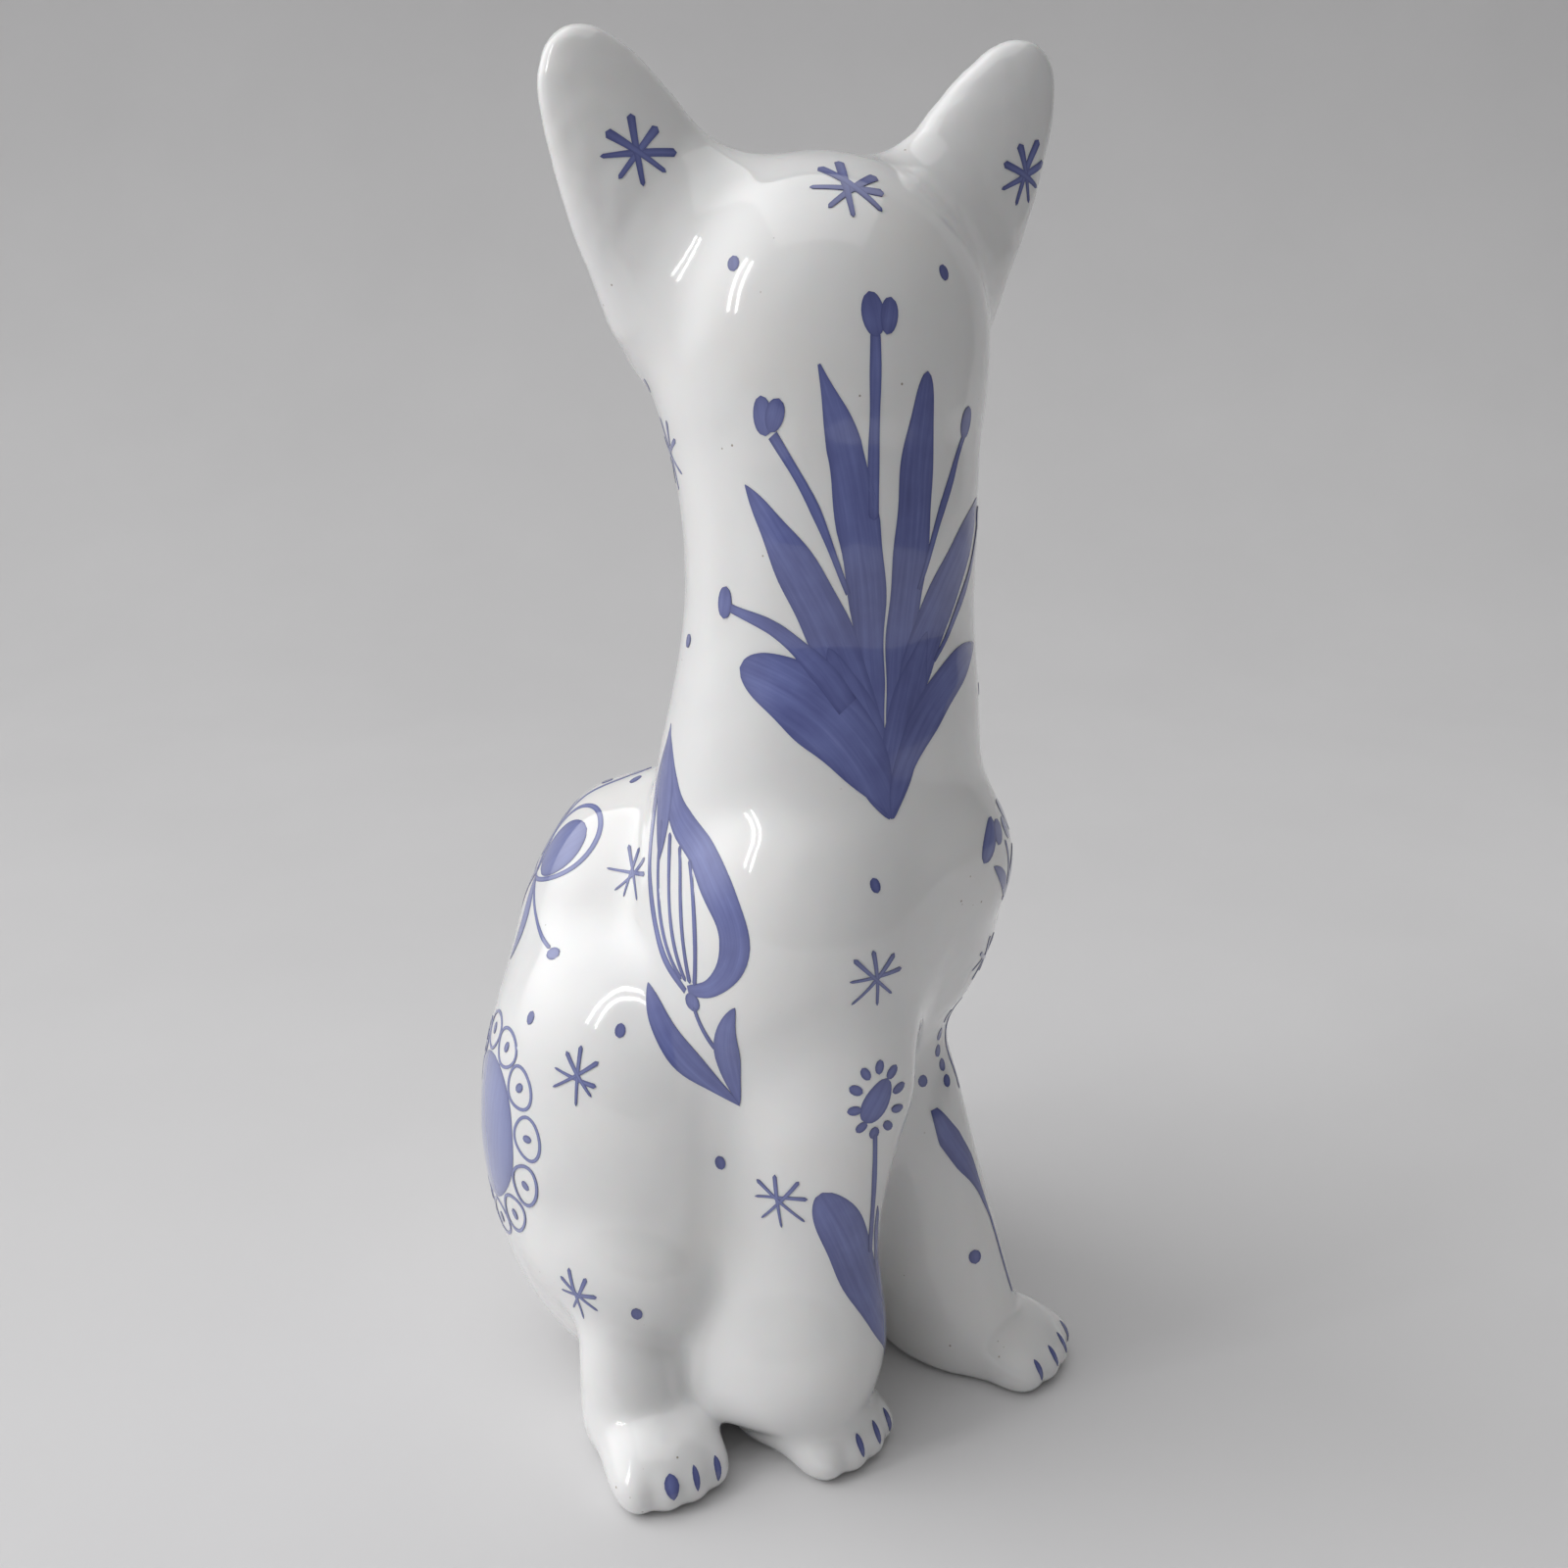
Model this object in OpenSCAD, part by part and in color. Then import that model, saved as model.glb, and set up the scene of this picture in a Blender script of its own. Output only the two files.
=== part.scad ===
// Tall seated cat figurine in glazed earthenware, with its head turned back over its left shoulder.
// It is built the way a pottery lutes one up: hollow body and head castings, ears, legs, feet and
// a tail joined face to face, and a plate with a vent hole that closes the underside.
// The cat faces -Y, its left side is +X, and it stands on z = 0 with the origin under its belly.

/* [Figurine] */
// Height from the table to the tips of the ears
figure_height = 335; // [270:5:420]
// Wall thickness of the hollow castings
wall = 4.5; // [3.5:0.5:6]
// Diameter of the vent hole in the underside
vent_diameter = 10; // [6:1:16]

/* [Pose] */
// How far the head is turned to the cat's left of straight ahead
head_turn = 148; // [120:2:160]
// How far each ear leans outward from upright
ear_lean = 28; // [20:1:34]

/* [Mesh] */
// Points around each casting's sections
sides = 48; // [36:4:60]

/* [Hidden] */
design_height = 335;               // every size below is for a figurine this tall
neck_joint_z = 206;                // where the head casting is luted to the body casting
neck_axis = [6, -9, 0];            // the neck stands a little to the cat's left
inner_margin = 6;                  // the inner skin follows the least outer reach this far up and down
blend_power = 9;                   // how sharply neighbouring masses meet under one skin
miss_fade = 5;                     // how quickly a mass fades beside the rays that hit it
pole_fade = 0.12;                  // the end of each mass over which it fades away
crown_gap = 0.6;                   // how far the head's last ring stops short of the top, in rings
cut_margin = 1;                    // how far a cut runs past the faces it opens
beyond = 200;                      // farther out than any part of the figurine
limb_sides = 24;                   // points around a leg or an ear
toe_sides = 12;                    // points around one toe
tail_sides = 16;                   // points around the tail
glaze_white = "white";

// ---- curves ----
function catmull(a, b, c, d, t) =
    0.5 * (2 * b + (c - a) * t + (2 * a - 5 * b + 4 * c - d) * t * t + (3 * b - a - 3 * c + d) * t * t * t);
function clamped(table, i) = table[max(0, min(len(table) - 1, i))];
// Row of a table at a real-valued index, on a smooth curve through the rows
function row_at(table, s) =
    let (i = floor(s))
    catmull(clamped(table, i - 1), clamped(table, i), clamped(table, i + 1), clamped(table, i + 2), s - i);
// Row of a table whose first column is the height, at height z
function row_at_height(table, z) =
    row_at(table, lookup(z, [for (i = [0 : len(table) - 1]) [table[i][0], i]]));

// ---- solids from rings of points ----
// Side faces between ring j and ring k, each of n points
function band(j, k, n) =
    [for (i = [0 : n - 1])
        [j * n + i, k * n + i, k * n + (i + 1) % n, j * n + (i + 1) % n]];
// Closed skin through a list of equal rings, with a flat cap on the first and the last
module skin(rings) {
    n = len(rings[0]);
    m = len(rings);
    polyhedron(
        points = [for (r = rings) each r],
        faces = concat(
            [[for (i = [0 : n - 1]) i]],
            [for (j = [0 : m - 2]) each band(j, j + 1, n)],
            [[for (i = [n - 1 : -1 : 0]) (m - 1) * n + i]]),
        convexity = 6);
}
// Skin through a list of equal rings that closes from the last ring back to the first
module sleeve(rings) {
    n = len(rings[0]);
    m = len(rings);
    polyhedron(
        points = [for (r = rings) each r],
        faces = [for (j = [0 : m - 1]) each band(j, (j + 1) % m, n)],
        convexity = 6);
}
// The same shape as skin(), as a stack of slabs between neighbouring rings
module stack(rings) {
    for (j = [0 : len(rings) - 2])
        hull() skin([rings[j], rings[j + 1]]);
}
function ellipse_ring(centre, half_width, half_depth, n) =
    [for (i = [0 : n - 1])
        let (a = 360 * i / n)
        [centre[0] + half_width * cos(a), centre[1] + half_depth * sin(a), centre[2]]];

// ---- castings as a smooth maximum of the masses under one skin ----
// Distance from spine point s along unit direction d to the far side of ellipse (c, r). A ray
// that misses the ellipse fades to nothing over a short swing, so the skin has no step there.
function far_hit(s, d, c, r) =
    let (
        ox = (s[0] - c[0]) / r[0], oy = (s[1] - c[1]) / r[1],
        dx = d[0] / r[0], dy = d[1] / r[1],
        a = dx * dx + dy * dy, b = ox * dx + oy * dy, k = ox * ox + oy * oy - 1,
        q = b * b - a * k)
    max(0, q > 0 ? (-b + sqrt(q)) / a : -b / a * exp(miss_fade * q / a));
// The same for the section at height z of an ellipsoid mass [centre, radii], faded near its poles
function mass_hit(s, d, z, m) =
    let (h = 1 - pow((z - m[0][2]) / m[1][2], 2))
    h <= 0 ? 0 : far_hit(s, d, m[0], [m[1][0] * sqrt(h), m[1][1] * sqrt(h)]) * min(1, sqrt(h / pole_fade));
function smooth_max(v) = pow([for (x = v) pow(x, blend_power)] * [for (x = v) 1], 1 / blend_power);
// Reach of a casting at height z and angle a about spine point s: its core ellipse (c, r) and masses
function casting_reach(z, a, s, c, r, masses) =
    let (d = [cos(a), sin(a)])
    smooth_max(concat([far_hit(s, d, c, r)], [for (m = masses) mass_hit(s, d, z, m)]));
// Ring at height z about the spine's row s there, from a list of reaches
function reach_ring(z, s, reaches) =
    [for (i = [0 : sides - 1])
        let (a = 360 * i / sides)
        [s[1] + reaches[i] * cos(a), s[2] + reaches[i] * sin(a), z]];

// ---- body casting ----
// Core of the trunk from the base up: [z, x, y, half width, half depth]
trunk = [
    [0, 0, 17, 38, 34],
    [25, 0, 18, 43, 38],
    [55, 0, 17, 44, 40],
    [85, 0, 9, 44, 42],
    [110, 0, 1, 44, 44],
    [130, 1, -6, 43, 44],
    [150, 3, -8, 41, 43],
    [170, 4, -8, 38, 40],
    [188, 5, -9, 36, 37],
    [206, 6, -9, 34.5, 34.5],
    [224, 6, -9, 34.5, 34.5]];
// Line that the body's sections are measured from: [z, x, y]
body_spine = [[0, 0, 17], [85, 0, 17], [130, 1, 14], [155, 3, 8], [180, 5, -4], [206, 6, -9], [224, 6, -9]];
haunch_right = [[-30, 26, 62], [34, 44, 64]];
haunch_left = [[30, 26, 62], [34, 44, 64]];
rump = [[-2, 40, 78], [42, 45, 80]];
shoulder_right = [[-21, -19, 130], [23, 28, 38]];
shoulder_left = [[21, -16, 130], [23, 28, 38]];
chest_tuft = [[11, -34, 148], [18, 16, 18]];
body_masses = [haunch_right, haunch_left, rump, shoulder_right, shoulder_left, chest_tuft];
body_rings = 36;

function body_reach(z, a) =
    let (t = row_at_height(trunk, z), s = row_at_height(body_spine, z))
    casting_reach(z, a, [s[1], s[2]], [t[1], t[2]], [t[3], t[4]], body_masses);
function body_ring(z) =
    reach_ring(z, row_at_height(body_spine, z), [for (i = [0 : sides - 1]) body_reach(z, 360 * i / sides)]);
// The inner skin stays a wall inside the outer one a little above and below as well
function body_inner_ring(z) =
    reach_ring(z, row_at_height(body_spine, z),
        [for (i = [0 : sides - 1])
            min([for (dz = [-1, 0, 1]) body_reach(z + dz * inner_margin, 360 * i / sides)]) - wall]);
function seat_ring(z) = [for (p = body_inner_ring(0)) [p[0], p[1], z]];
function body_height(k) = k / body_rings * neck_joint_z;

module body_shell() {
    color(glaze_white)
    sleeve(concat(
        [for (k = [0 : body_rings]) body_ring(body_height(k))],
        [for (k = [body_rings : -2 : 2]) body_inner_ring(body_height(k))],
        [seat_ring(wall), seat_ring(0)]));
}
module body_form() {
    skin([for (k = [0 : body_rings]) body_ring(body_height(k))]);
}
module base_plate() {
    color(glaze_white)
    difference() {
        linear_extrude(wall) polygon([for (p = seat_ring(0)) [p[0], p[1]]]);
        translate([body_spine[0][1], body_spine[0][2], -cut_margin])
            cylinder(d = vent_diameter, h = wall + 2 * cut_margin, $fn = sides);
    }
}

// ---- head casting, drawn facing -Y about the neck's own axis and then turned ----
crown_z = 309;
// Core of the neck: [z, x, y, half width, half depth]
neck = [
    [206, 0, 0, 34.5, 34.5],
    [224, 0, 0, 34.5, 35],
    [242, 0, -3, 35, 36],
    [260, 0, -6, 31, 33],
    [285, 0, -8, 14, 16],
    [309, 0, -9, 1, 1]];
// Line that the head's sections are measured from: [z, x, y]
head_spine = [[206, 0, 0], [238, 0, -7], [262, 0, -17], [288, 0, -15], [309, 0, -9]];
skull = [[0, -9, 268], [39.5, 41, 41]];
cheek_left = [[20, -31, 274], [22, 24, 23]];
cheek_right = [[-20, -31, 274], [22, 24, 23]];
muzzle = [[0, -45, 263], [17, 19, 13]];
chin = [[0, -40, 252], [13, 16, 10]];
head_masses = [skull, cheek_left, cheek_right, muzzle, chin];
head_rings = 26;

function head_reach(z, a) =
    let (t = row_at_height(neck, z), s = row_at_height(head_spine, z))
    casting_reach(z, a, [s[1], s[2]], [t[1], t[2]], [t[3], t[4]], head_masses);
function head_ring(z) =
    reach_ring(z, row_at_height(head_spine, z), [for (i = [0 : sides - 1]) head_reach(z, 360 * i / sides)]);
function head_inner_ring(z) =
    reach_ring(z, row_at_height(head_spine, z),
        [for (i = [0 : sides - 1])
            max(1, min([for (dz = [-1, 0, 1]) head_reach(z + dz * inner_margin, 360 * i / sides)]) - wall)]);
// Heights crowd towards the top, where the crown closes over
function head_height(k, top) = neck_joint_z + (top - neck_joint_z) * sin(90 * k / (head_rings + crown_gap));

module on_neck() {
    translate(neck_axis) rotate(head_turn) children();
}
module head_shell() {
    color(glaze_white) on_neck()
    skin(concat(
        [for (k = [head_rings : -2 : 0]) head_inner_ring(head_height(k, crown_z - wall - inner_margin))],
        [for (k = [0 : head_rings]) head_ring(head_height(k, crown_z))]));
}
module head_form() {
    skin([for (k = [0 : head_rings]) head_ring(head_height(k, crown_z))]);
}

// ---- ears, luted to the skull ----
// Up the ear from inside the skull: [height, half width, half thickness]
ear = [
    [-10, 19, 12], [4, 19.5, 11.5], [16, 18, 9.5], [28, 15.5, 7.5],
    [38, 12.5, 6], [45, 9, 4.6], [49, 5.5, 3.2], [50.5, 2, 1.4]];
// The hollow in the ear's front: [height, half width, half depth, how far forward]
ear_hollow = [
    [6, 5, 3, 11], [12, 10, 5, 10.5], [20, 11.5, 5.5, 9.5],
    [30, 9.5, 5, 8], [38, 6.5, 4, 6.5], [44, 2, 2, 5]];
ear_foot = [33, -15, 288];
ear_rings = 14;
hollow_rings = 8;
module ear_blank() {
    translate(ear_foot)
    rotate([0, ear_lean, 0])
    difference() {
        stack([for (k = [0 : ear_rings])
            let (t = row_at(ear, k / ear_rings * (len(ear) - 1)))
            ellipse_ring([0, 0, t[0]], t[1], t[2], limb_sides)]);
        stack([for (k = [0 : hollow_rings])
            let (t = row_at(ear_hollow, k / hollow_rings * (len(ear_hollow) - 1)))
            ellipse_ring([0, -t[3], t[0]], t[1], t[2], limb_sides)]);
    }
}
module ear_left() {
    color(glaze_white) on_neck()
    difference() {
        ear_blank();
        head_form();
    }
}
module ear_right() {
    color(glaze_white) on_neck()
    difference() {
        mirror([1, 0, 0]) ear_blank();
        head_form();
    }
}

// ---- paws, drawn pointing along -Y ----
toe_count = 4;
toe_pitch = 6.4;
toe_radius = 4.8;
module ball(at, r, n) {
    translate(at) sphere(r, $fn = n);
}
module paw() {
    // the back of the paw, under the ankle
    hull()
        for (side = [-1, 1]) {
            ball([side * 4, 6, 9], 10, limb_sides);
            ball([side * 5.5, -11, 6.5], 7.5, limb_sides);
        }
    // toes in two knuckles each, the middle ones reaching further
    for (i = [0 : toe_count - 1]) {
        side = i - (toe_count - 1) / 2;
        reach = 2 * abs(side);
        hull() {
            ball([side * toe_pitch * 0.9, -9, 7.5], toe_radius * 1.1, toe_sides);
            ball([side * toe_pitch, -17 + reach, 6.5], toe_radius, toe_sides);
        }
        hull() {
            ball([side * toe_pitch, -17 + reach, 6.5], toe_radius, toe_sides);
            ball([side * toe_pitch * 1.05, -21 + reach, 4.2], toe_radius * 0.85, toe_sides);
        }
    }
}
// Cuts away what lies under the table top or inside the body casting
module trim_to_body() {
    difference() {
        children();
        body_form();
        translate([-beyond, -beyond, -beyond]) cube([2 * beyond, 2 * beyond, beyond]);
    }
}

// ---- front legs ----
// From the sole up: [z, x, y, half width, half depth]
leg_left = [
    [0, 21, -40, 13, 22], [12, 21, -38, 14.5, 24], [30, 21, -31, 15.5, 25], [55, 20, -22, 16, 26],
    [80, 19, -15, 17, 25], [100, 18, -12, 18, 22], [118, 18, -12, 18, 21]];
leg_right = [
    [0, -28, -25, 15, 19], [8, -29, -24, 17, 22], [16, -32, -21, 22, 28], [30, -29, -20, 22, 31],
    [55, -25, -16, 18, 30], [80, -23, -20, 18, 29], [100, -21, -27, 19, 26], [118, -20, -27, 19, 24]];
leg_rings = 18;
module leg(table) {
    skin([for (k = [0 : leg_rings])
        let (t = row_at(table, k / leg_rings * (len(table) - 1)))
        ellipse_ring([t[1], t[2], t[0]], t[3], t[4], limb_sides)]);
}
module front_leg_left() {
    color(glaze_white)
    trim_to_body() {
        leg(leg_left);
        translate([25, -49, 0]) rotate(8) paw();
    }
}
module front_leg_right() {
    color(glaze_white)
    trim_to_body() {
        leg(leg_right);
        translate([-30, -29, 0]) rotate(-4) paw();
    }
}

// ---- hind feet, which come out from under the haunches ----
hock = [[0, 0, 8, 12, 16], [12, 0, 8, 13, 15], [24, 0, 10, 12.5, 14], [36, 0, 16, 10, 12]];
hock_rings = 6;
module hind_foot(at, turn) {
    color(glaze_white)
    trim_to_body()
    translate(at) rotate(turn) {
        skin([for (k = [0 : hock_rings])
            let (t = row_at(hock, k / hock_rings * (len(hock) - 1)))
            ellipse_ring([t[1], t[2], t[0]], t[3], t[4], limb_sides)]);
        paw();
    }
}
module hind_foot_left() hind_foot([53, 13, 0], 14);
// The right front leg stands back beside this foot, so the foot ends where the leg begins
module hind_foot_right() {
    color(glaze_white)
    difference() {
        hind_foot([-62, -5, 0], -24);
        leg(leg_right);
    }
}

// ---- tail, lying along the left side from the rump ----
// Along the tail from its root: [x, y, radius]
tail_line = [
    [-4, 66, 11], [20, 68, 11], [44, 62, 10.5], [63, 49, 10],
    [75, 32, 9], [79, 16, 7.5], [76, 5, 5.5]];
tail_steps = 18;
tail_rest = 0.9;                   // height of the tail's centre line as a share of its radius
module tail_ball(k) {
    t = row_at(tail_line, k / tail_steps * (len(tail_line) - 1));
    ball([t[0], t[1], tail_rest * t[2]], t[2], tail_sides);
}
module tail() {
    color(glaze_white)
    trim_to_body()
    for (k = [0 : tail_steps - 1])
        hull() {
            tail_ball(k);
            tail_ball(k + 1);
        }
}

scale(figure_height / design_height) {
    body_shell();
    base_plate();
    head_shell();
    ear_left();
    ear_right();
    front_leg_left();
    front_leg_right();
    hind_foot_left();
    hind_foot_right();
    tail();
}
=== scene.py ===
# Looks for the seated cat figurine: one smooth glazed skin over the luted castings, shaped with
# distance fields, and the blue decoration as thin brush strokes that lie on that skin.
import math

import bpy
import numpy as np
import openvdb
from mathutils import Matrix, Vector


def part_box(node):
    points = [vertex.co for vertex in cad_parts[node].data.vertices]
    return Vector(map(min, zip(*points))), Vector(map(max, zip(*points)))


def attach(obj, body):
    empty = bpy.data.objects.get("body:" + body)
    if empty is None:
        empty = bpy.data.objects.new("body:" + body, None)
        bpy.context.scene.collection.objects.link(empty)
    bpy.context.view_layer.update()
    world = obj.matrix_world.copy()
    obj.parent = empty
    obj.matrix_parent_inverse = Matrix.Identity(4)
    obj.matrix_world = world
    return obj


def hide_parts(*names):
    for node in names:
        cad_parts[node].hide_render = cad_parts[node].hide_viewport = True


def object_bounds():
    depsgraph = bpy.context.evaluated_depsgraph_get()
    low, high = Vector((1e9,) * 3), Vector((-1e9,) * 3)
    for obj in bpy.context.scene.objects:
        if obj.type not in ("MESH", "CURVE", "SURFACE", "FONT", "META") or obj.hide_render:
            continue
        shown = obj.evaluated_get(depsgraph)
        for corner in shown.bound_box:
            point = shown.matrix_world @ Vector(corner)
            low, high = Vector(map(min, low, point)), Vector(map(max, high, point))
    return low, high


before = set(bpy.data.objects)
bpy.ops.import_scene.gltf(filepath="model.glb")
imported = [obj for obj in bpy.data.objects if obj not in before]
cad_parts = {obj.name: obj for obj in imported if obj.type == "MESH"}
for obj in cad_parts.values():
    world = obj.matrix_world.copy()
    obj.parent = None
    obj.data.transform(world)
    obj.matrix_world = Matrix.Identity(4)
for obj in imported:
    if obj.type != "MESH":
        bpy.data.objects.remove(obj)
cad_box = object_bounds()

# ---- the frame's own measures ----
low_corner = np.array(cad_box[0], float)
high_corner = np.array(cad_box[1], float)
DRAWN_HEIGHT = 333.8               # every size below is for a figurine this many millimetres tall
MM = (high_corner[2] - low_corner[2]) / DRAWN_HEIGHT
PLATE = "base_plate"
GLAZED = sorted(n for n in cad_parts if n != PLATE)
NECK_AXIS = np.array([6.0, -9.0, 0.0])
HEAD_TURN = math.radians(148)      # the face looks this far to the cat's left of straight ahead
rng = np.random.default_rng(7)

# ---- distance fields, all on one grid and in millimetres ----
VOXEL = 1.25
BAND = 10                          # voxels on either side of a surface that a field holds
REACH = BAND * VOXEL
EAR_FLARE = 18                     # how widely the ears run out into the head
grid_low = np.floor(low_corner / MM / VOXEL).astype(int) - BAND
grid_shape = np.ceil(high_corner / MM / VOXEL).astype(int) + BAND - grid_low
grid_origin = tuple(int(i) for i in grid_low)
transform = openvdb.createLinearTransform(voxelSize=VOXEL)


def field_of(points, faces):
    """Signed distance to a closed surface of triangles or quads at every grid point."""
    kind = "triangles" if faces.shape[1] == 3 else "quads"
    grid = openvdb.FloatGrid.createLevelSetFromPolygons(
        points.astype(np.float32), transform=transform, halfWidth=BAND,
        **{kind: faces.astype(np.uint32)})
    field = np.empty(grid_shape, np.float32)
    grid.copyToArray(field, ijk=grid_origin)
    return field


def surface_of(field):
    """Points and quads of a field's zero surface."""
    grid = openvdb.FloatGrid(REACH)
    grid.transform = transform
    grid.copyFromArray(field, ijk=grid_origin, tolerance=0)
    points, quads = grid.convertToQuads(isovalue=0.0)
    return np.array(points, float), np.array(quads, int)


def field_of_node(name):
    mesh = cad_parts[name].data
    mesh.calc_loop_triangles()
    points = np.empty(len(mesh.vertices) * 3, np.float32)
    mesh.vertices.foreach_get("co", points)
    triangles = np.empty(len(mesh.loop_triangles) * 3, np.int32)
    mesh.loop_triangles.foreach_get("vertices", triangles)
    return field_of(points.reshape(-1, 3) / MM, triangles.reshape(-1, 3))


def blurred(field, sigma):
    """Field after a Gaussian blur of sigma millimetres, one axis at a time."""
    cells = sigma / VOXEL
    offsets = np.arange(-math.ceil(3 * cells), math.ceil(3 * cells) + 1)
    weights = np.exp(-0.5 * (offsets / cells) ** 2)
    weights /= weights.sum()
    for axis in range(3):
        total = np.zeros_like(field)
        for offset, weight in zip(offsets, weights):
            total += np.float32(weight) * np.roll(field, offset, axis)
        field = total
    return field


def smoothstep(low, high, x):
    t = np.clip((x - low) / (high - low), 0, 1)
    return t * t * (3 - 2 * t)


def smooth_min(a, b, radius):
    """Union of two fields with a fillet of about that radius."""
    h = np.clip(0.5 + 0.5 * (b - a) / radius, 0, 1)
    return b * (1 - h) + a * h - radius * h * (1 - h)


def smooth_cut(a, b, radius):
    """Field a with field b cut out of it, and the rim rounded."""
    return -smooth_min(-a, b, radius)


def grid_axes(low_index=(0, 0, 0), high_index=None):
    """x, y and z of a block of grid points, as arrays that broadcast against each other."""
    high_index = grid_shape if high_index is None else high_index
    return [
        ((np.arange(a, b) + g) * VOXEL).reshape([-1 if k == axis else 1 for k in range(3)])
        for axis, (a, b, g) in enumerate(zip(low_index, high_index, grid_low))]


def ellipsoid(x, y, z, centre, radii):
    """Approximate signed distance to an ellipsoid."""
    p = [(x - centre[0]), (y - centre[1]), (z - centre[2])]
    near = np.sqrt(sum((c / r) ** 2 for c, r in zip(p, radii)))
    far = np.sqrt(sum((c / r ** 2) ** 2 for c, r in zip(p, radii)))
    return near * (near - 1) / np.maximum(far, 1e-6)


# ---- the castings joined into one solid ----
def open_air(solid, creep=12):
    """Where air reaches: in sight from one of five sides, or up to creep grid steps round a corner."""
    seen = np.zeros_like(solid)
    for axis, flip in ((0, False), (0, True), (1, False), (1, True), (2, True)):
        way = np.flip(solid, axis) if flip else solid
        free = ~np.logical_or.accumulate(way, axis)
        seen |= np.flip(free, axis) if flip else free
    for _ in range(creep):
        for axis in range(3):
            for step in (1, -1):
                seen |= np.roll(seen, step, axis) & ~solid
    return seen


fields = {name: field_of_node(name) for name in GLAZED + [PLATE]}
x, y, z = grid_axes()
plate_low, plate_high = (np.array(c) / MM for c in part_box(PLATE))
plate_middle = (plate_low + plate_high) / 2
plate_half = (plate_high - plate_low) / 2
in_plate = ((x - plate_middle[0]) / plate_half[0]) ** 2 + ((y - plate_middle[1]) / plate_half[1]) ** 2 < 1
union = np.minimum.reduce(list(fields.values()))
hull_field = np.minimum(fields["body_shell"], fields["head_shell"])
ear_field = np.minimum(fields["ear_left"], fields["ear_right"])
solid = (union < 0) | (in_plate & (z > 0) & (z < plate_high[2]))
union[~open_air(solid)] = -REACH
union = field_of(*surface_of(union))
near_ear = np.minimum(ear_field, hull_field) > -VOXEL
flare = np.where(near_ear, np.minimum(smooth_min(ear_field, hull_field, EAR_FLARE), union), union)
union = np.where(np.maximum(ear_field, hull_field) < REACH, flare, union)

# ---- fillets where the castings are luted, and crisper forms at the toes and the ears ----
FINE_BLUR = 1.1                    # millimetres of smoothing: everywhere, on the large forms,
FORM_BLUR = 3.2                    # where a leg or the tail joins the body, and on the paws
JOINT_BLUR = 5.5
PAW_BLUR = 3.0
joint_gap = np.full(grid_shape, REACH, np.float32)
for name in GLAZED:
    if name.startswith("front_leg") or name == "tail":
        joint_gap = np.minimum(joint_gap, np.maximum(np.abs(fields[name]), np.abs(hull_field)))
at_joint = (1 - smoothstep(5, REACH, joint_gap)) * smoothstep(16, 44, z)
on_form = smoothstep(10, 26, z) * smoothstep(0, 4, ear_field)
skin = blurred(union, FINE_BLUR)
skin += on_form * (blurred(union, FORM_BLUR) - skin)
skin += at_joint * (blurred(union, JOINT_BLUR) - skin)

# ---- soft paws, haunches that bulge over the hind feet, and flat soles ----
# where each paw stands, and how many degrees it turns from straight ahead
PAWS = (((25, -49), 8), ((-30, -29), -4), ((53, 13), 14), ((-62, -5), -24))
TOE_PITCH = 6.4
TOE_REACH = 17                     # the middle of a toe is this far ahead of the middle of its paw
TOES = 4
FOOT_HEIGHT = 27
HAUNCH_LIPS = ((-50, 13), (46, 30))
SKIN_MARGIN = 0.35                 # the skin stays this far inside the castings' own box
skin += (1 - smoothstep(14, FOOT_HEIGHT, z)) * (blurred(union, PAW_BLUR) - skin)
for lip_x, lip_y in HAUNCH_LIPS:
    skin = smooth_min(skin, ellipsoid(x, y, z, (lip_x, lip_y, 45), (17, 25, 17)), 8)
feet = (slice(None), slice(None), slice(0, int(np.searchsorted(z.ravel(), FOOT_HEIGHT))))
feet_z = z[feet]
paws = skin[feet]
for (paw_x, paw_y), turned in PAWS:
    a = math.radians(turned)
    beside = math.cos(a) * (x - paw_x) + math.sin(a) * (y - paw_y)
    behind = math.cos(a) * (y - paw_y) - math.sin(a) * (x - paw_x)
    paws = smooth_min(paws, ellipsoid(beside, behind, feet_z, (0, -9, 6), (13.5, 12, 9)), 4)
    for k in range(TOES):
        across = k - (TOES - 1) / 2
        middle = (1.03 * TOE_PITCH * across, 2 * abs(across) - TOE_REACH, 4.8)
        paws = smooth_min(paws, ellipsoid(beside, behind, feet_z, middle, (4.5, 7.2, 5.4)), 2.2)
skin[feet] = paws
for axis, low, high in zip((x, y, z), low_corner / MM, high_corner / MM):
    inset = 0 if axis is z else SKIN_MARGIN
    skin = np.maximum(skin, np.maximum(low + inset - axis, axis - high + inset))
skin = skin.astype(np.float32)

# ---- the face, on the side of the head away from the chest ----
head_low, head_high = (np.array(c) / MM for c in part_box("head_shell"))
block_low = np.maximum(np.floor((head_low - 6) / VOXEL).astype(int) - grid_low, 0)
block_high = np.minimum(np.ceil((head_high + 6) / VOXEL).astype(int) - grid_low, grid_shape)
block = tuple(slice(a, b) for a, b in zip(block_low, block_high))
bx, by, bz = grid_axes(block_low, block_high)
turn_cos, turn_sin = math.cos(HEAD_TURN), math.sin(HEAD_TURN)
hx = turn_cos * (bx - NECK_AXIS[0]) + turn_sin * (by - NECK_AXIS[1])
hy = turn_cos * (by - NECK_AXIS[1]) - turn_sin * (bx - NECK_AXIS[0])
face = skin[block]
EYE = (16, -50.5, 277)
side_x = np.abs(hx)
face = smooth_min(face, ellipsoid(hx, hy, bz, (0, -49, 275), (8, 12, 13)), 6)
face = smooth_cut(face, ellipsoid(side_x, hy, bz, (EYE[0], -60, EYE[2]), (10, 7, 7)), 4)
face = smooth_min(face, ellipsoid(side_x, hy, bz, EYE, (8, 5.5, 5.5)), 1.5)
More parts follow.
